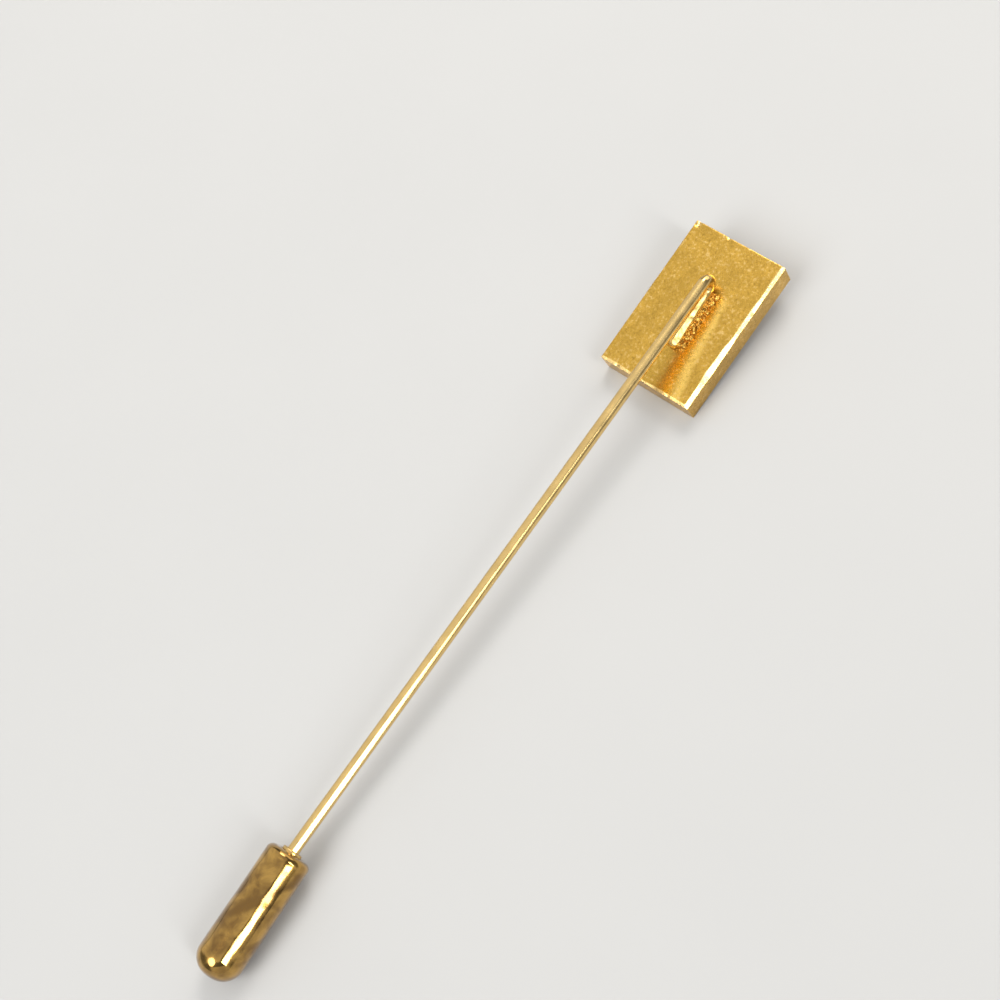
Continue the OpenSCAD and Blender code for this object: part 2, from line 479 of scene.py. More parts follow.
def wire_surface(head, wire, sides=56):
    """A round wire carried along its middle line, each ring square to the line.

    A ring's point is its middle plus radius times (cosine of the angle times the in-plane
    square direction, plus sine times the direction out of the plane). Drawing marks are small
    lumps stretched along the wire, and splashes of solder are lumps on the foot alone. Two
    flats are worn on the wire: one on the foot, deepening towards its free end, and a faint
    one on the stem's far part.
    """
    places, ways, radii = wire_middle_line(wire, bend_centre(head, wire)[2])
    angle = even_angles(sides)
    around = wire.diameter / 2
    length = np.concatenate([[0], np.cumsum(np.linalg.norm(np.diff(places, axis=0), axis=1))])
    skin = stacked(length[:, None], around * np.cos(angle), around * np.sin(angle))
    foot = 1 - smooth_step(length - wire.foot_length, *FOOT_FADE)
    splash = wire.splashes * relief(skin, "splash") * foot[:, None]
    marks = wire.marks * relief(skin * np.array([MARK_SHAPE, 1, 1]), "drawing")
    ring_radius = radii[:, None] + marks + splash
    to_bend = np.clip(length / wire.foot_length, 0, 1)
    deepening = 1 - (1 - FOOT_FLAT_START) * to_bend
    foot_depth = np.where(to_bend < 1, wire.foot_filing * deepening, 0)
    stem_depth = wire.stem_wear * smooth_step(length / wire.stem_length, STEM_WEAR_START, 1)
    for depth, turn in ((foot_depth, FOOT_FLAT_TURN), (stem_depth, STEM_FLAT_TURN)):
        flat = (around - depth)[:, None] + splash
        ring_radius = flattened(ring_radius, angle, turn, flat, depth)
    off_line = ring_radius * np.cos(angle)
    x = places[:, :1] - off_line * ways[:, 1:]
    z = places[:, 1:] + off_line * ways[:, :1]
    rings = in_wire_plane(head, wire, x, ring_radius * np.sin(angle), z)
    tips = in_wire_plane(head, wire, places[[0, -1], 0], np.zeros(2), places[[0, -1], 1])
    points = np.concatenate([rings.reshape(-1, 3), tips])
    soldered = FOOT_TINT * np.concatenate([np.repeat(foot, sides), foot[[0, -1]]])
    return to_world(points), tube_faces(len(places), sides), [("soldered", soldered)]


# Solder

# Turn from one grain to the next, whose sines don't repeat
GOLDEN_ANGLE = math.radians(137.5)

# The solder's field: its points along and across the foot, and its margins past the foot's
# free end, the bend and the sides
SOLDER_ROWS, SOLDER_COLUMNS = 230, 130
PAST_FOOT, PAST_BEND, PAST_SIDE = 0.6 * MM, 0.4 * MM, 0.25 * MM

# Its heights: where it is fully rough, under which it is bare, and how deep the bare field and
# the underside lie in the plate. The hollow look fades between two heights over a share of the
# bed's.
ROUGH_HEIGHT, BARE_HEIGHT = 0.06 * MM, 2 * MICRON
BARE_DEPTH, UNDER_DEPTH = 0.04 * MM, 0.1 * MM
HOLLOW_BED, HOLLOW_FADE = 0.8, (0.02 * MM, 0.14 * MM)

# The bed: where its slope starts, as a share of the wire's radius, the power of its hollow
# curve, and where it fades past the foot's free end and past the bend
BED_START = 0.7
BED_CURVE = 1.5
BED_END_FADE = (-0.4 * MM, 0.15 * MM)
BED_BEND_FADE = (-0.3 * MM, 0.3 * MM)

# The grains: how far they run past the foot's ends, as a share of it, and how high in the bed
# they sit; the middle, reach and pace of their scatter beside the foot and of their sizes; how
# far their outlines are warped, and their height over that of whole spheres
GRAIN_PAST = 0.02
GRAIN_SEAT = 0.75
BESIDE_MIDDLE, BESIDE_REACH, BESIDE_PACE = 0.28, 0.42, 1.7
SIZE_MIDDLE, SIZE_REACH, SIZE_PACE = 0.9, 0.4, 2.3
GRAIN_WARP = 0.07 * MM
GRAIN_HEIGHT = 0.85


def solder_bed(wire, solder, x, y):
    """Height of the smooth bed beside the foot.

    It slopes from the wire's flank in a hollow curve, 1 - t to the power BED_CURVE for the
    share t of its width, and fades out past both ends of the foot.
    """
    radius = wire.diameter / 2
    width = (1 - BED_START) * radius + solder.width
    share = np.clip((np.abs(y) - BED_START * radius) / width, 0, 1)
    ends = smooth_step(x + wire.foot_length, *BED_END_FADE) * (1 - smooth_step(x, *BED_BEND_FADE))
    return solder.height * (1 - share) ** BED_CURVE * ends


def solder_grains(wire, solder):
    """Places, heights and radii of the grains, which lie on the bed along both flanks.

    They step by the golden angle, whose sines scatter their places and sizes.
    """
    index = np.arange(solder.grains)
    turn = GOLDEN_ANGLE * index
    run = (1 + 2 * GRAIN_PAST) * (index + 0.5) / solder.grains - GRAIN_PAST
    beside = BESIDE_MIDDLE + BESIDE_REACH * np.cos(BESIDE_PACE * turn)
    x = -wire.foot_length * run
    y = np.where(index % 2 == 0, -1.0, 1.0) * (wire.diameter / 2 + solder.width * beside)
    radius = solder.grain * (SIZE_MIDDLE + SIZE_REACH * np.sin(SIZE_PACE * turn + 1.0))
    return x, y, GRAIN_SEAT * solder_bed(wire, solder, x, y), radius


def there_and_back(over, under):
    """Rows that run over a strip and come back under it, so that each closes in a loop."""
    return np.concatenate([over, under[:, ::-1]], axis=1)


def solder_surface(head, wire, solder):
    """A closed low bed of solder: a field of heights over the plate, with a flat underside.

    A grain adds a sphere's cap, the root of its radius squared less the distance squared, to
    its own height, and the highest of all counts. Lumps warp the grains' outlines and roughen
    the top.
    """
    grain_x, grain_y, grain_z, grain_r = solder_grains(wire, solder)
    reach = wire.diameter / 2 + solder.width + PAST_SIDE
    x, y = np.meshgrid(np.linspace(-wire.foot_length - PAST_FOOT, PAST_BEND, SOLDER_ROWS),
                       np.linspace(-reach, reach, SOLDER_COLUMNS), indexing="ij")
    field = stacked(x, y, 0.0)
    warp_x = x + GRAIN_WARP * relief(field, "grain_x")
    warp_y = y + GRAIN_WARP * relief(field, "grain_y")
    far = (warp_x[..., None] - grain_x) ** 2 + (warp_y[..., None] - grain_y) ** 2
    caps = np.where(far < grain_r ** 2, grain_z + np.sqrt(np.clip(grain_r ** 2 - far, 0, None)), 0)
    bed = solder_bed(wire, solder, x, y)
    top = np.maximum(bed, GRAIN_HEIGHT * caps.max(axis=-1))
    rough = solder.roughness * relief(field, "solder") * smooth_step(top, 0, ROUGH_HEIGHT)
    height = head.thickness + np.where(top > BARE_HEIGHT, top + rough, -BARE_DEPTH)
    under = np.full_like(height, head.thickness - UNDER_DEPTH)
    points = in_wire_plane(head, wire, there_and_back(x, x), there_and_back(y, y),
                           there_and_back(height, under))
    rows, columns = points.shape[:2]
    first = np.arange(columns)[None, :]
    last = (rows - 1) * columns + first[:, ::-1]
    faces = [grid_faces(rows, columns, columns_close=True), first, last]
    above_bed = smooth_step(top - HOLLOW_BED * bed, *HOLLOW_FADE)
    hollow = 1 - there_and_back(above_bed, above_bed)
    return to_world(points.reshape(-1, 3)), faces, [("hollow", hollow)]


# Clutch

# Dips in the shell: place along it in millimetres, angle round it in degrees, then radius and
# depth in millimetres
SHELL_DIPS = [
    (3.5, 136, 0.55, 0.01),
    (0.9, 150, 0.7, 0.012),
    (5.6, 158, 1.0, 0.02),
    (7.9, 128, 0.9, 0.02),
    (2.2, 195, 0.9, 0.03),
    (6.6, 215, 1.1, 0.03),
    (4.6, 60, 1.1, 0.02),
    (7.3, -60, 0.9, 0.02),
    (2.6, 10, 0.9, 0.02),
]

# Lumps of the shell: width over length, the share of the small ones, the mean of them all, and
# where they fade towards the axis and towards the mouth
DENT_SHAPE = 0.6
SMALL_DENTS = 1 / 3
MEAN_DENT = 1.2
DENT_OUT_FADE = (0.2 * MM, 0.9 * MM)
DENT_MOUTH_FADE = (0.1 * MM, 0.7 * MM)

# The smudge: its place along the shell, how far it slants, its middle's angle in degrees, how
# far lumps fray it, and where it fades beside its middle line and round the shell in radians
SMUDGE_PLACE = 3.55 * MM
SMUDGE_SLANT = 2.57 * MM
SMUDGE_TURN = 154.5
SMUDGE_FRAY = 0.2 * MM
SMUDGE_FADE = (0.15 * MM, 0.85 * MM)
SMUDGE_TURN_FADE = (0.9, 1.6)


def clutch_places(head, wire, side, outline, sides):
    """Points turned about a clutch axis that strays by side: a ring for each outline point.

    An outline point holds its place along the axis from the mouth, and its distance out.
    Returns the points in the pin's axes and the ring's directions out.
    """
    axis = heading(wire, side)
    up = np.cross(axis, [0.0, 1.0, 0.0])
    up = up / np.linalg.norm(up)
    across = np.cross(axis, up)
    angle = even_angles(sides)
    spokes = np.cos(angle)[:, None] * up + np.sin(angle)[:, None] * across
    along, out = outline.T[:, :, None, None]
    return clutch_mouth(head, wire) + along * axis + out * spokes, spokes


def shell_outline(clutch):
    """Half outline of the shell, from the outer tip round the mouth's lip to the inner tip.

    Outside, a blunt round end passes into a slightly tapered side and a round shoulder. The
    lip turns through half a circle into the hole, and the inside follows at the wall's
    thickness. Returns the outline and how many of its points are outside.
    """
    tip = clutch.length
    end_r = clutch.diameter / 2
    mouth_r = clutch.mouth_diameter / 2
    dome = clutch.dome_round
    shoulder = clutch.shoulder_round
    wall = clutch.wall
    hole = clutch.collar_diameter / 2 + clutch.collar_gap
    outer = np.concatenate([
        straight((tip, 0), (tip, end_r - dome), 6),
        arc((tip - dome, end_r - dome), dome, 0, math.pi / 2, 40),
        straight((tip - dome, end_r), (shoulder, mouth_r), 110),
        arc((shoulder, mouth_r - shoulder), shoulder, math.pi / 2, math.pi, 22),
        straight((0, mouth_r - shoulder), (0, hole + wall / 2), 6)])
    lip = arc((wall / 2, hole + wall / 2), wall / 2, math.pi, 1.5 * math.pi, 8)
    inner_dome = dome - wall
    inner_end = end_r - wall
    inner = np.concatenate([
        [(wall, hole)],
        straight((wall, hole), (wall, mouth_r - wall), 4),
        straight((wall, mouth_r - wall), (tip - dome, inner_end), 12),
        arc((tip - dome, inner_end - inner_dome), inner_dome, math.pi / 2, 0, 10)])
    return np.concatenate([outer, lip, inner]), len(outer)


def smudge_share(along, angle, skin):
    """Share of the smudge that slants round one side of the shell.

    Its place along the shell grows with the sine of the turn, and lumps fray its edges.
    """
    turn = turned_from(angle, SMUDGE_TURN)
    middle = SMUDGE_PLACE + SMUDGE_SLANT * np.sin(turn)
    off = np.abs(along[:, None] - middle) + SMUDGE_FRAY * relief(skin, "smudge")
    share = 1 - smooth_step(off, *SMUDGE_FADE)
    return share * (1 - smooth_step(np.abs(turn), *SMUDGE_TURN_FADE))


def shell_surface(head, wire, clutch, sides=144):
    """The drawn shell: its outline turned about the clutch's own askew axis, softly dented.

    Only the outside is dented: broad lumps, small lumps and a few round dips move its points
    towards the axis.
    """
    outline, outer_count = shell_outline(clutch)
    along, out = outline.T
    side = wire.stray + clutch.skew
    rings, spokes = clutch_places(head, wire, side, outline, sides)
    angle = even_angles(sides)
    skin = stacked(along[:, None] * DENT_SHAPE, out[:, None] * np.cos(angle),
                   out[:, None] * np.sin(angle))
    outside = np.where(np.arange(len(outline)) < outer_count, 1.0, 0.0)
    fade = outside * smooth_step(out, *DENT_OUT_FADE) * smooth_step(along, *DENT_MOUTH_FADE)
    uneven = relief(skin, "dents") + SMALL_DENTS * relief(skin, "small_dents")
    depth = clutch.dents * (MEAN_DENT + uneven)
    for dip_along, dip_turn, radius, dip in SHELL_DIPS:
        beside = turned_from(angle, dip_turn) * clutch.diameter / 2
        far = np.hypot(along[:, None] - dip_along * MM, beside) / (radius * MM)
        depth = depth + dip * MM * round_dip(far)
    rings = rings - (depth * fade[:, None])[..., None] * spokes
    ends = np.array([clutch.length, clutch.length - clutch.wall])
    tips = clutch_mouth(head, wire) + ends[:, None] * heading(wire, side)
    points = np.concatenate([rings.reshape(-1, 3), tips])
    smudge = smudge_share(along, angle, skin) * outside[:, None]
    smudge = np.concatenate([smudge.ravel(), [0, 0]])
    return to_world(points), tube_faces(len(outline), sides), [("smudge", smudge)]


def grip_surface(head, wire, clutch, sides=96):
    """The grip: a bored sleeve with a flange and a rounded collar, as a closed turned outline."""
    bore = wire.diameter / 2 + clutch.bore_gap
    collar = clutch.collar_diameter / 2
    round_r = clutch.collar_round
    front = -clutch.collar_out
    flange_r = clutch.mouth_diameter / 2 - clutch.wall - clutch.flange_gap
    flange = clutch.wall + clutch.flange_gap
    flange_end = flange + clutch.flange_thickness
    outline = np.concatenate([
        straight((clutch.grip_length, bore), (front, bore), 30),
        arc((front + round_r, bore + round_r), round_r, 1.5 * math.pi, math.pi, 8),
        arc((front + round_r, collar - round_r), round_r, math.pi, math.pi / 2, 10),
        straight((front + round_r, collar), (flange, collar), 6),
        [(flange, collar), (flange, flange_r), (flange_end, flange_r), (flange_end, collar)],
        straight((flange_end, collar), (clutch.grip_length, collar), 24),
        [(clutch.grip_length, collar), (clutch.grip_length, bore)]])
    rings = clutch_places(head, wire, wire.stray, outline, sides)[0]
    faces = [grid_faces(len(outline), sides, rows_close=True, columns_close=True)]
    return to_world(rings.reshape(-1, 3)), faces, []


# Finishes

# Sockets of a Mix node that hold its two colours and the colour it gives
FIRST_COLOUR, SECOND_COLOUR, MIXED_COLOUR = 6, 7, 2


def new_material(name):
    """A material, its node tree and its shader."""
    material = bpy.data.materials.new(name)
    material.use_nodes = True
    tree = material.node_tree
    return material, tree, tree.nodes["Principled BSDF"]


def add_node(tree, kind, **settings):
    """A node of a kind, with its plain settings and its inputs' values set by name."""
    node = tree.nodes.new(kind)
    for label, value in settings.items():
        if label in node.inputs:
            node.inputs[label].default_value = value
        else:
            setattr(node, label, value)
    return node


def noise(tree, size, squeeze=(1, 1, 1), detail=3.0, rough=0.55, twist=0.0):
    """Noise over the surface's own place: lumps about size metres wide, smeared by twist.

    squeeze scales the place along each axis, and a number under 1 draws the lumps out.
    """
    place = add_node(tree, "ShaderNodeTexCoord")
    mapping = add_node(tree, "ShaderNodeMapping", Scale=squeeze)
    node = add_node(tree, "ShaderNodeTexNoise", Scale=1 / size, Detail=detail, Roughness=rough,
                    Distortion=twist)
    tree.links.new(place.outputs["Object"], mapping.inputs["Vector"])
    tree.links.new(mapping.outputs["Vector"], node.inputs["Vector"])
    return node.outputs["Fac"]


def opaque(colour, share):
    """A colour darkened by a share, with full alpha."""
    return tuple(channel * share for channel in colour) + (1.0,)


def ramp(tree, value, *ends):
    """A tone that follows a value between two ends, each a place, a colour and its share."""
    node = add_node(tree, "ShaderNodeValToRGB")
    for element, (place, colour, share) in zip(node.color_ramp.elements, ends):
        element.position = place
        element.color = opaque(colour, share)
    tree.links.new(value, node.inputs["Fac"])
    return node.outputs["Color"]


def spread(tree, value, source, target):
    """A value moved from the range source to the range target, and kept within it."""
    node = add_node(tree, "ShaderNodeMapRange", clamp=True)
    for label, number in zip(("From Min", "From Max", "To Min", "To Max"), source + target):
        node.inputs[label].default_value = number
    tree.links.new(value, node.inputs["Value"])
    return node.outputs["Result"]


def combined(tree, operation, first, second):
    """Two values joined by a Math node's operation."""
    node = add_node(tree, "ShaderNodeMath", operation=operation)
    tree.links.new(first, node.inputs[0])
    tree.links.new(second, node.inputs[1])
    return node.outputs[0]


def kept_share(tree, label):
    """The share that each point of the mesh keeps under label."""
    return add_node(tree, "ShaderNodeAttribute", attribute_name=label).outputs["Fac"]


def turned(tree, tone, share, colour, darker=1.0):
    """A tone turned by a share to a colour, which is darkened first."""
    node = add_node(tree, "ShaderNodeMix", data_type="RGBA")
    tree.links.new(share, node.inputs["Factor"])
    tree.links.new(tone, node.inputs[FIRST_COLOUR])
    node.inputs[SECOND_COLOUR].default_value = opaque(colour, darker)
    return node.outputs[MIXED_COLOUR]


def finish_gold(tree, shader, tone, rough, bumps):
    """Gives a shader of pure metal its tone, its roughness and its bumps.

    bumps holds (height, distance) layers, one laid over the other.
    """
    shader.inputs["Metallic"].default_value = 1.0
    tree.links.new(tone, shader.inputs["Base Color"])
    tree.links.new(rough, shader.inputs["Roughness"])
    target = shader.inputs["Normal"]
    for height, distance in reversed(bumps):
        bump = add_node(tree, "ShaderNodeBump", Strength=1.0, Distance=distance)
        tree.links.new(height, bump.inputs["Height"])
        tree.links.new(bump.outputs["Normal"], target)
        target = bump.inputs["Normal"]


def satin_gold(finish):
    """Fine matt grain of the head: clouds, pits and pale filed edges, with pale specks of painted
    glints and bands of painted reflection of the stem beside the foot.
    """
    material, tree, shader = new_material("satin_gold")
    clouds = noise(tree, 1.5 * MM, detail=4)
    specks = noise(tree, 0.24 * MM, rough=0.6)
    fine = noise(tree, 0.07 * MM)
    pits = spread(tree, specks, (0.3, 0.46), (0.7, 0.0))
    crowd = spread(tree, clouds, (0.36, 0.58), (0.25, 1.0))
    # Painted glints: pale specks where small lamps would glint, more of them where the clouds
    # crowd.
    bright = spread(tree, specks, (0.55, 0.66), (0.0, 0.65))
    tone = ramp(tree, clouds, (0.3, finish.satin, 0.82), (0.7, finish.satin, 1.08))
    # Painted reflections of the stem in the back: yellow for its highlight, orange for the stem
    # itself.
    tone = turned(tree, tone, kept_share(tree, "painted_highlight_reflection"), finish.flush)
    tone = turned(tree, tone, kept_share(tree, "painted_stem_reflection"), finish.painted_reflection)
    tone = turned(tree, tone, pits, finish.satin, 0.62)
    tone = turned(tree, tone, combined(tree, "MULTIPLY", crowd, bright), finish.pale)
    tone = turned(tree, tone, kept_share(tree, "worn"), finish.pale)
    rough = spread(tree, fine, (0.3, 0.7), (finish.satin_rough - 0.05, finish.satin_rough + 0.05))
    finish_gold(tree, shader, tone, rough, [(fine, 3 * MICRON), (specks, 10 * MICRON)])
    return material


def drawn_gold(finish):
    """Bright drawn wire: fine lines along it, a little haze, and a duller soldered foot."""
    material, tree, shader = new_material("drawn_gold")
    lines = noise(tree, 0.07 * MM, (0.04, 1, 1), detail=2)
    haze = noise(tree, 1.1 * MM)
    soldered = kept_share(tree, "soldered")
    tone = ramp(tree, haze, (0.3, finish.pale, 0.72), (0.7, finish.pale, 0.84))
    tone = turned(tree, tone, soldered, finish.flush)
    duller = spread(tree, soldered, (0.0, FOOT_TINT), (0.0, 0.08))
    rough = combined(tree, "ADD", spread(tree, haze, (0.3, 0.7), (0.22, 0.28)), duller)
    finish_gold(tree, shader, tone, rough, [(lines, 2.5 * MICRON)])
    return material


def solder_gold(finish):
    """Grainy solder: browner in its hollows, bright on its grains."""
    material, tree, shader = new_material("solder_gold")
    pits = noise(tree, 0.12 * MM, detail=4)
    tone = ramp(tree, pits, (0.4, finish.solder, 0.7), (0.7, finish.flush, 0.95))
    tone = turned(tree, tone, kept_share(tree, "hollow"), finish.solder, 0.75)
    rough = spread(tree, pits, (0.3, 0.7), (0.24, 0.4))
    finish_gold(tree, shader, tone, rough, [(pits, 12 * MICRON)])
    return material


def polished_gold(finish):
    """Polished shell: warm gold with stains, smears and hair scratches under clear lacquer."""
    material, tree, shader = new_material("polished_gold")
    smears = noise(tree, 0.9 * MM, (0.35, 1, 1), detail=5, rough=0.6)
    mottle = noise(tree, 1.3 * MM, detail=4, rough=0.5, twist=0.35)
    scratches = noise(tree, 0.06 * MM, (1.0, 0.12, 0.5), detail=1)
    tone = ramp(tree, mottle, (0.36, finish.stain, 1), (0.62, finish.polished, 1))
    tone = turned(tree, tone, kept_share(tree, "smudge"), finish.stain)
    rough = spread(tree, smears, (0.34, 0.66), (0.07, 0.26))
    finish_gold(tree, shader, tone, rough, [(mottle, 16 * MICRON), (scratches, 1.2 * MICRON)])
    shader.inputs["Coat Weight"].default_value = 0.6
    shader.inputs["Coat Roughness"].default_value = 0.1
    return material


def dull_gold(finish):
    """Dull gold of the grip, darker in stains."""
    material, tree, shader = new_material("dull_gold")
    stain = noise(tree, 0.4 * MM, detail=4)
    tone = ramp(tree, stain, (0.35, finish.polished, 1), (0.65, finish.pale, 0.8))
    rough = spread(tree, stain, (0.3, 0.7), (0.18, 0.36))
    finish_gold(tree, shader, tone, rough, [(stain, 6 * MICRON)])
    return material


def pale_floor(stage):
    """Plain pale floor with the faintest unevenness of tone."""
    material, tree, shader = new_material("pale_floor")
    cloud = noise(tree, 20 * MM, detail=2)
    tone = ramp(tree, cloud, (0.3, stage.floor_colour, 0.985), (0.7, stage.floor_colour, 1))
    tree.links.new(tone, shader.inputs["Base Color"])
    shader.inputs["Roughness"].default_value = 0.9
    return material


# Sizes and colours that a user would change

def length_mm(name, description, default):
    """A length property shown in the scene's units, given here in millimetres."""
    return FloatProperty(name=name, description=description, default=default * MM, min=0.0,
                         unit="LENGTH", precision=6)


def angle_degrees(name, description, default):
    """An angle property, given here in degrees."""
    return FloatProperty(name=name, description=description, default=math.radians(default),
                         subtype="ANGLE")


def colour_rgb(name, description, default):
    """A colour property."""
    return FloatVectorProperty(name=name, description=description, default=default, size=3,
                               min=0.0, max=1.0, subtype="COLOR")


def place_xyz(name, description, default):
    """A property for a place in the scene."""
    return FloatVectorProperty(name=name, description=description, default=default, size=3,
                               unit="LENGTH", subtype="TRANSLATION", precision=5)


class StickPinHead(bpy.types.PropertyGroup):
    """Sizes of the head plate."""
    length: length_mm("Length", "Length of the head along the pin", 12.6)
    width: length_mm("Width", "Width of the head across the pin", 8.1)
    thickness: length_mm("Thickness", "Thickness of the head", 2.1)
    edge_round: length_mm("Edge rounding", "Radius of the edges", 0.08)
    filing: length_mm("Filing", "Depth of the filing at the long edge", 0.19)
    grain: length_mm("Grain", "Height of the satin grain", 0.0022)
    sway: length_mm("Sway", "Unevenness of the flat faces", 0.008)


class StickPinWire(bpy.types.PropertyGroup):
    """Sizes of the bent wire."""
    diameter: length_mm("Diameter", "Diameter of the wire", 0.9)
    bed: length_mm("Bed", "Depth of the foot in the head's back", 0.05)
    foot_length: length_mm("Foot length", "Straight length of the foot", 4.45)
    foot_round: length_mm("Foot end rounding", "Radius of the foot's free end", 0.4)
    bend_inset: length_mm("Bend inset", "From the head's far end to the bend", 3.4)
    bend_radius: length_mm("Bend radius", "Radius of the bend's middle line", 0.66)
    bend_side: length_mm("Bend offset", "Sideways place of the bend", 0.18)
    rise: angle_degrees("Rise", "Angle at which the stem rises from the head's back", 5.8)
    stray: angle_degrees("Stray", "Angle at which the wire strays to the side", 1.9)
    stem_length: length_mm("Stem length", "From the bend to the clutch", 50.0)
    hidden_length: length_mm("Hidden length", "Length of the pin in the clutch", 7.2)
    point_length: length_mm("Point length", "Length of the tapered point", 3.0)
    tip_radius: length_mm("Tip radius", "Radius of the blunted tip", 0.1)
    marks: length_mm("Drawing marks", "Height of the marks along the wire", 0.004)
    splashes: length_mm("Splashes", "Height of the solder on the foot", 0.018)
    foot_filing: length_mm("Foot filing", "Depth of the flat at the foot's end", 0.085)
    stem_wear: length_mm("Stem wear", "Depth of the stem's faint flat", 0.034)


class StickPinSolder(bpy.types.PropertyGroup):
    """Sizes of the solder."""
    width: length_mm("Width", "Width of the solder beside the foot", 0.48)
    height: length_mm("Height", "Height of the solder on the foot", 0.5)
    grain: length_mm("Grain", "Mean radius of a grain", 0.23)
    roughness: length_mm("Roughness", "Height of the small lumps", 0.045)
    grains: IntProperty(name="Grains", description="Number of grains", default=52, min=1)


class StickPinClutch(bpy.types.PropertyGroup):
    """Sizes of the clutch."""
    length: length_mm("Length", "Length of the shell", 9.8)
    diameter: length_mm("Diameter", "Diameter at the closed end", 3.54)
    mouth_diameter: length_mm("Mouth diameter", "Diameter behind the shoulder", 3.44)
    wall: length_mm("Wall", "Thickness of the shell", 0.3)
    dome_round: length_mm("End rounding", "Radius of the closed end's corner", 1.45)
    shoulder_round: length_mm("Shoulder", "Radius of the mouth's shoulder", 0.55)
    skew: angle_degrees("Skew", "Angle by which the shell sits askew", 2.2)
    dents: length_mm("Dents", "Depth of the shell's unevenness", 0.028)
    collar_diameter: length_mm("Collar diameter", "Diameter of the collar", 1.5)
    collar_out: length_mm("Collar height", "How far the collar stands out", 0.22)
    collar_round: length_mm("Collar rounding", "Radius of the collar's rim", 0.07)
    collar_gap: length_mm("Collar gap", "Gap round the collar", 0.07)
    grip_length: length_mm("Grip length", "Length of the grip", 7.4)
    flange_thickness: length_mm("Flange", "Thickness of the grip's flange", 0.5)
    flange_gap: length_mm("Flange gap", "Gap round the flange", 0.12)
    bore_gap: length_mm("Bore gap", "Gap between wire and bore", 0.03)


class StickPinFinish(bpy.types.PropertyGroup):
    """Colours and roughness of the golds."""
    satin: colour_rgb("Satin gold", "Colour of the head", (0.66, 0.395, 0.07))
    pale: colour_rgb("Pale gold", "Colour of the wire and worn edges", (0.97, 0.68, 0.27))
    polished: colour_rgb("Polished gold", "Colour of the clutch", (0.51, 0.3, 0.066))
    stain: colour_rgb("Stained gold", "Colour of the clutch's stains", (0.22, 0.115, 0.022))
    solder: colour_rgb("Solder", "Colour of the solder's hollows", (0.72, 0.34, 0.05))
    # Colour of the orange painted reflection of the stem in the head's back, not of real solder.
    painted_reflection: colour_rgb("Flooded solder", "Colour of solder on the head", (0.72, 0.36, 0.022))
    # Colour of the solder on the foot and of its grains, and also of the yellow painted reflection
    # of the stem's highlight on the head.
    flush: colour_rgb("Flush", "Colour beside the flooded solder", (0.95, 0.63, 0.15))
    satin_rough: FloatProperty(name="Satin roughness", description="Roughness of the head",
                               default=0.28, min=0.0, max=1.0, subtype="FACTOR")


class StickPinStage(bpy.types.PropertyGroup):
    """Floor, camera and lights."""
    floor_colour: colour_rgb("Floor", "Colour of the floor", (0.48, 0.475, 0.462))
    floor_size: length_mm("Floor size", "Width of the floor", 3000)
    camera_place: place_xyz("Camera", "Place of the camera", (-0.01764, -0.05472, 0.11738))
    camera_target: place_xyz("Camera target", "Point in mid-picture", (0.00668, 0.0041, 0.0))
    camera_roll: angle_degrees("Camera roll", "Turn of the camera about its view", 30.83)
    focal_length: FloatProperty(name="Focal length", description="For a 36 mm wide picture",
                                default=64.8, unit="CAMERA")
    world_light: FloatProperty(name="World light", description="Brightness of the surroundings",
                               default=0.2, min=0.0)


# One operator for each piece, and one for the stage

# Groups of settings that each piece's surface takes
HEAD_GROUPS = ["stick_pin_head"]
WIRE_GROUPS = HEAD_GROUPS + ["stick_pin_wire"]
SOLDER_GROUPS = WIRE_GROUPS + ["stick_pin_solder"]
CLUTCH_GROUPS = WIRE_GROUPS + ["stick_pin_clutch"]


class PinOperator:
    """What the operators share: each can be redone and undone, and builds its piece alike."""
    bl_options = {"REGISTER", "UNDO"}

    def build(self, context, name, surface, groups, material, distance=0.1 * MICRON):
        """A welded piece, whose surface is worked out from the scene's groups of settings."""
        scene = context.scene
        settings = [getattr(scene, group) for group in groups]
        piece = new_piece(name, surface(*settings), material(scene.stick_pin_finish))
        weld(piece, distance)
        return piece


class STICKPIN_OT_head_plate(PinOperator, bpy.types.Operator):
    """Build the thick satin head plate with its filed edges"""
    bl_idname = "stickpin.head_plate"
    bl_label = "Head Plate"

    def execute(self, context):
        piece = self.build(context, "head_plate", head_surface, HEAD_GROUPS, satin_gold, 1 * MICRON)
        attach(piece, "pin")
        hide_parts("plate_with_pin")
        return {"FINISHED"}


class STICKPIN_OT_pin_wire(PinOperator, bpy.types.Operator):
    """Build the one bent wire: foot, hairpin bend, stem and point"""
    bl_idname = "stickpin.pin_wire"
    bl_label = "Pin Wire"

    def execute(self, context):
        piece = self.build(context, "pin_wire", wire_surface, WIRE_GROUPS, drawn_gold)
        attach(piece, "pin")
        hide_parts("plate_with_pin")
        return {"FINISHED"}


class STICKPIN_OT_solder_bed(PinOperator, bpy.types.Operator):
    """Build the grainy solder beside the foot"""
    bl_idname = "stickpin.solder_bed"
    bl_label = "Solder"

    def execute(self, context):
        piece = self.build(context, "solder_bed", solder_surface, SOLDER_GROUPS, solder_gold)
        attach(piece, "pin")
        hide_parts("plate_with_pin")
        return {"FINISHED"}


class STICKPIN_OT_clutch_shell(PinOperator, bpy.types.Operator):
    """Build the polished bullet shell with its small dents"""
    bl_idname = "stickpin.clutch_shell"
    bl_label = "Clutch Shell"

    def execute(self, context):
        piece = self.build(context, "bullet_shell", shell_surface, CLUTCH_GROUPS, polished_gold)
        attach(piece, "clutch")
        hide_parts("clutch_shell")
        return {"FINISHED"}


class STICKPIN_OT_clutch_grip(PinOperator, bpy.types.Operator):
    """Build the grip, whose collar shows at the clutch's mouth"""
    bl_idname = "stickpin.clutch_grip"
    bl_label = "Clutch Grip"

    def execute(self, context):
        piece = self.build(context, "collar_grip", grip_surface, CLUTCH_GROUPS, dull_gold)
        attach(piece, "clutch")
        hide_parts("clutch_grip")
        return {"FINISHED"}


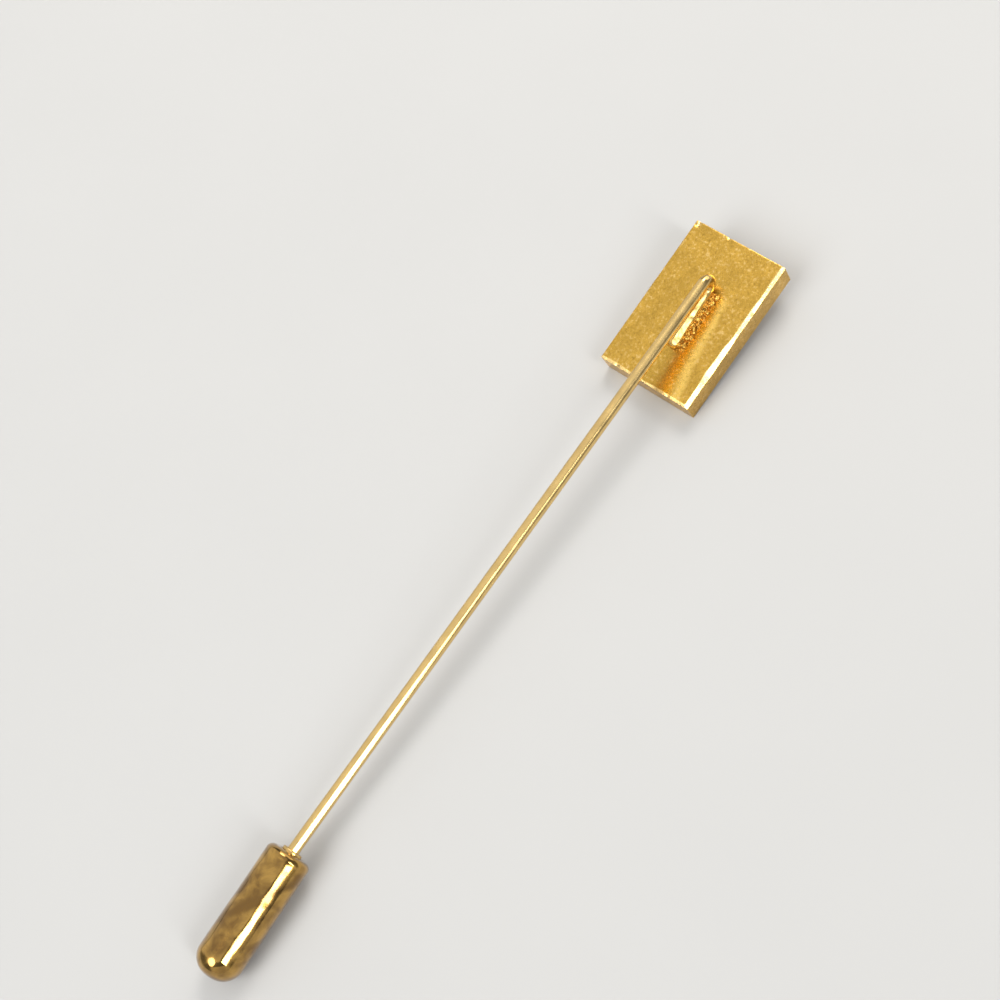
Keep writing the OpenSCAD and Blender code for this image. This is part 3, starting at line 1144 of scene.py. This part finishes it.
# Lights: name, shape, place along the pin that they face, way, distance, width and length,
# power and tint
LIGHTS = [
    ("key_panel", "RECTANGLE", 0.0, (0.6, 0.22, 0.77), 0.5, (0.2, 0.2), 1.0, (1.0, 0.97, 0.93)),
    ("back_panel", "RECTANGLE", 0.0, (0.0, 0.5, 0.866), 0.5, (0.7, 1.5), 2.3, (1.0, 0.98, 0.95)),
    ("strip_lamp", "RECTANGLE", -0.15, (0.0, -0.77, 0.638), 2.0, (0.25, 1.0), 14, (0.96, 0.98, 1)),
    ("edge_lamp", "RECTANGLE", 0.15, (0.0, -0.695, 0.715), 2.0, (0.36, 0.3), 2.2, (0.96, 0.98, 1)),
    ("low_lamp", "RECTANGLE", -0.03, (-0.66, -0.7, 0.3), 0.5, (0.9, 0.3), 0.45, (1.0, 0.96, 0.9)),
    ("bend_lamp", "RECTANGLE", 0.0, (0.9, 0.08, 0.42), 0.5, (0.5, 0.3), 0.8, (1.0, 0.95, 0.86)),
    ("end_lamp", "ELLIPSE", -0.03, (-0.63, 0.03, 0.77), 1.0, (0.62, 0.76), 7.2, (0.96, 0.98, 1)),
]

# Colour of the surroundings
WORLD_TINT = (0.93, 0.95, 1.0, 1.0)


def soft_light(name, shape, aim, way, distance, size, power, tint):
    """A flat light that faces the place aim along the pin, from a distance along the way."""
    data = bpy.data.lights.new(name, "AREA")
    data.shape = shape
    data.size, data.size_y = size
    data.energy = power
    data.color = tint
    light = bpy.data.objects.new(name, data)
    direction = Vector(way).normalized()
    light.location = Vector((aim, 0, 0)) + direction * distance
    light.rotation_euler = direction.to_track_quat("Z", "Y").to_euler()
    bpy.context.scene.collection.objects.link(light)


class STICKPIN_OT_stage(PinOperator, bpy.types.Operator):
    """Lay the pale floor, and set up the camera and the soft lights"""
    bl_idname = "stickpin.stage"
    bl_label = "Stage"

    def execute(self, context):
        scene = context.scene
        stage = scene.stick_pin_stage
        half = stage.floor_size / 2
        corners = [(-half, -half, 0), (half, -half, 0), (half, half, 0), (-half, half, 0)]
        floor = new_piece("floor", (corners, [[(0, 1, 2, 3)]], []), pale_floor(stage))
        for light in LIGHTS:
            soft_light(*light)
        world = bpy.data.worlds.new("studio")
        world.use_nodes = True
        background = world.node_tree.nodes["Background"]
        background.inputs["Color"].default_value = WORLD_TINT
        background.inputs["Strength"].default_value = stage.world_light
        scene.world = world
        scene.view_settings.view_transform = "Standard"
        self.add_camera(scene, stage)
        return {"FINISHED"}

    def add_camera(self, scene, stage):
        """A camera that looks from its place to the target, turned by the roll."""
        data = bpy.data.cameras.new("camera")
        data.sensor_width = 36
        data.lens = stage.focal_length
        data.clip_start = 0.005
        data.clip_end = 10
        camera = bpy.data.objects.new("camera", data)
        ahead = (Vector(stage.camera_target) - Vector(stage.camera_place)).normalized()
        level = ahead.cross(Vector((0, 0, 1))).normalized()
        down = ahead.cross(level)
        right = level * math.cos(stage.camera_roll) + down * math.sin(stage.camera_roll)
        up = right.cross(ahead)
        turn = Matrix((right, up, -ahead)).transposed().to_4x4()
        camera.matrix_world = Matrix.Translation(stage.camera_place) @ turn
        scene.collection.objects.link(camera)
        scene.camera = camera


class STICKPIN_PT_panel(bpy.types.Panel):
    """Sidebar panel with the pin's sizes and pieces"""
    bl_idname = "STICKPIN_PT_panel"
    bl_label = "Stick Pin"
    bl_space_type = "VIEW_3D"
    bl_region_type = "UI"
    bl_category = "Stick Pin"

    def draw(self, context):
        for label in SETTINGS:
            group = getattr(context.scene, label)
            box = self.layout.box()
            for setting in group.__annotations__:
                box.prop(group, setting)
        for operator in PIECE_OPERATORS:
            self.layout.operator(operator.bl_idname)


PIECE_OPERATORS = (STICKPIN_OT_stage, STICKPIN_OT_head_plate, STICKPIN_OT_pin_wire,
                   STICKPIN_OT_solder_bed, STICKPIN_OT_clutch_shell, STICKPIN_OT_clutch_grip)
SETTINGS = {
    "stick_pin_head": StickPinHead,
    "stick_pin_wire": StickPinWire,
    "stick_pin_solder": StickPinSolder,
    "stick_pin_clutch": StickPinClutch,
    "stick_pin_finish": StickPinFinish,
    "stick_pin_stage": StickPinStage,
}
CLASSES = (*SETTINGS.values(), *PIECE_OPERATORS, STICKPIN_PT_panel)


def register():
    """Registers every class and hangs the settings on the scene."""
    for cls in CLASSES:
        bpy.utils.register_class(cls)
    for label, cls in SETTINGS.items():
        setattr(bpy.types.Scene, label, PointerProperty(type=cls))


def unregister():
    """Takes the settings and the classes away again."""
    for label in SETTINGS:
        delattr(bpy.types.Scene, label)
    for cls in reversed(CLASSES):
        bpy.utils.unregister_class(cls)


def main():
    """Builds the whole pin and its stage."""
    register()
    bpy.ops.stickpin.stage()
    bpy.ops.stickpin.head_plate()
    bpy.ops.stickpin.pin_wire()
    bpy.ops.stickpin.solder_bed()
    bpy.ops.stickpin.clutch_shell()
    bpy.ops.stickpin.clutch_grip()


if __name__ == "__main__":
    main()
